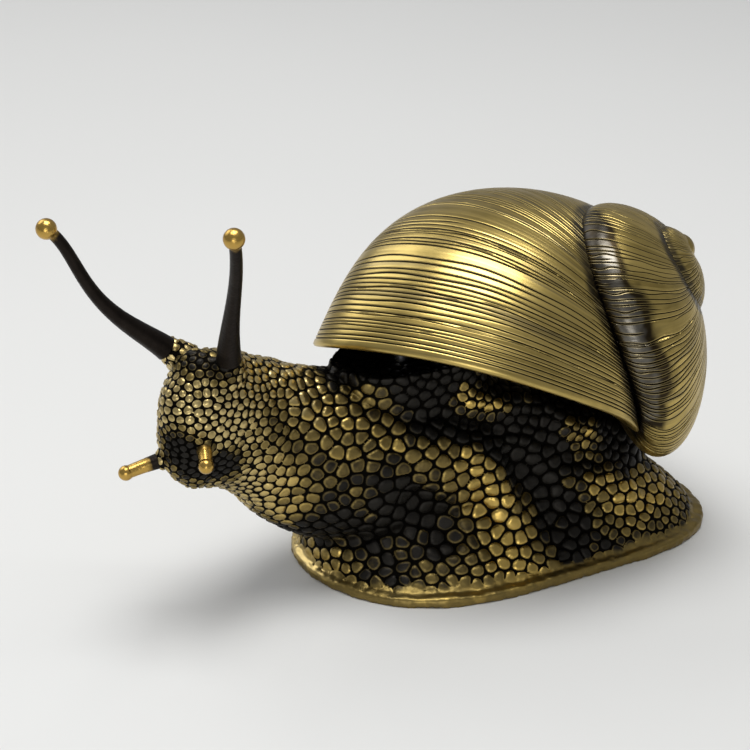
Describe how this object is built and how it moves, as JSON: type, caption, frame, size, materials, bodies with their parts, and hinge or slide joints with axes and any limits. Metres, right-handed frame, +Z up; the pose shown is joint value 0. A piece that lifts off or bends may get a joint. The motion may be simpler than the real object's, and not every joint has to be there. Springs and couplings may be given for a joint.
{
  "type": "snail figurine",
  "caption": "Patinated brass figurine of a crawling snail with a ribbed spiral shell, a scaled body, two long eye stalks and two short lower feelers.",
  "frame": {"origin": "on the surface that the foot stands on, under the middle of the whole figurine's bounding box", "axes": "+Z up, the head looks towards -Y and is turned to the snail's left, the spire of the shell points to +Y, +X is the snail's left side"},
  "size_m": [0.0855, 0.156, 0.1012],
  "materials": {
    "body_brass": "cast scales with polished tops and black-brown patina in the grooves",
    "shell_brass": "polished olive gold with dark patina in the growth grooves",
    "stalk_brass": "dark patina with polished round tips",
    "feeler_brass": "satin, rubbed bright",
    "fixing_steel": "plain turned steel"
  },
  "bodies": {
    "root": {"body": "body_brass", "shell": "shell_brass", "eye_stalk_left": "stalk_brass", "eye_stalk_right": "stalk_brass", "lower_feeler_left": "feeler_brass", "lower_feeler_right": "feeler_brass", "shell_screw": "fixing_steel", "shell_washer": "fixing_steel", "locating_pin": "fixing_steel"}
  },
  "joints": []
}
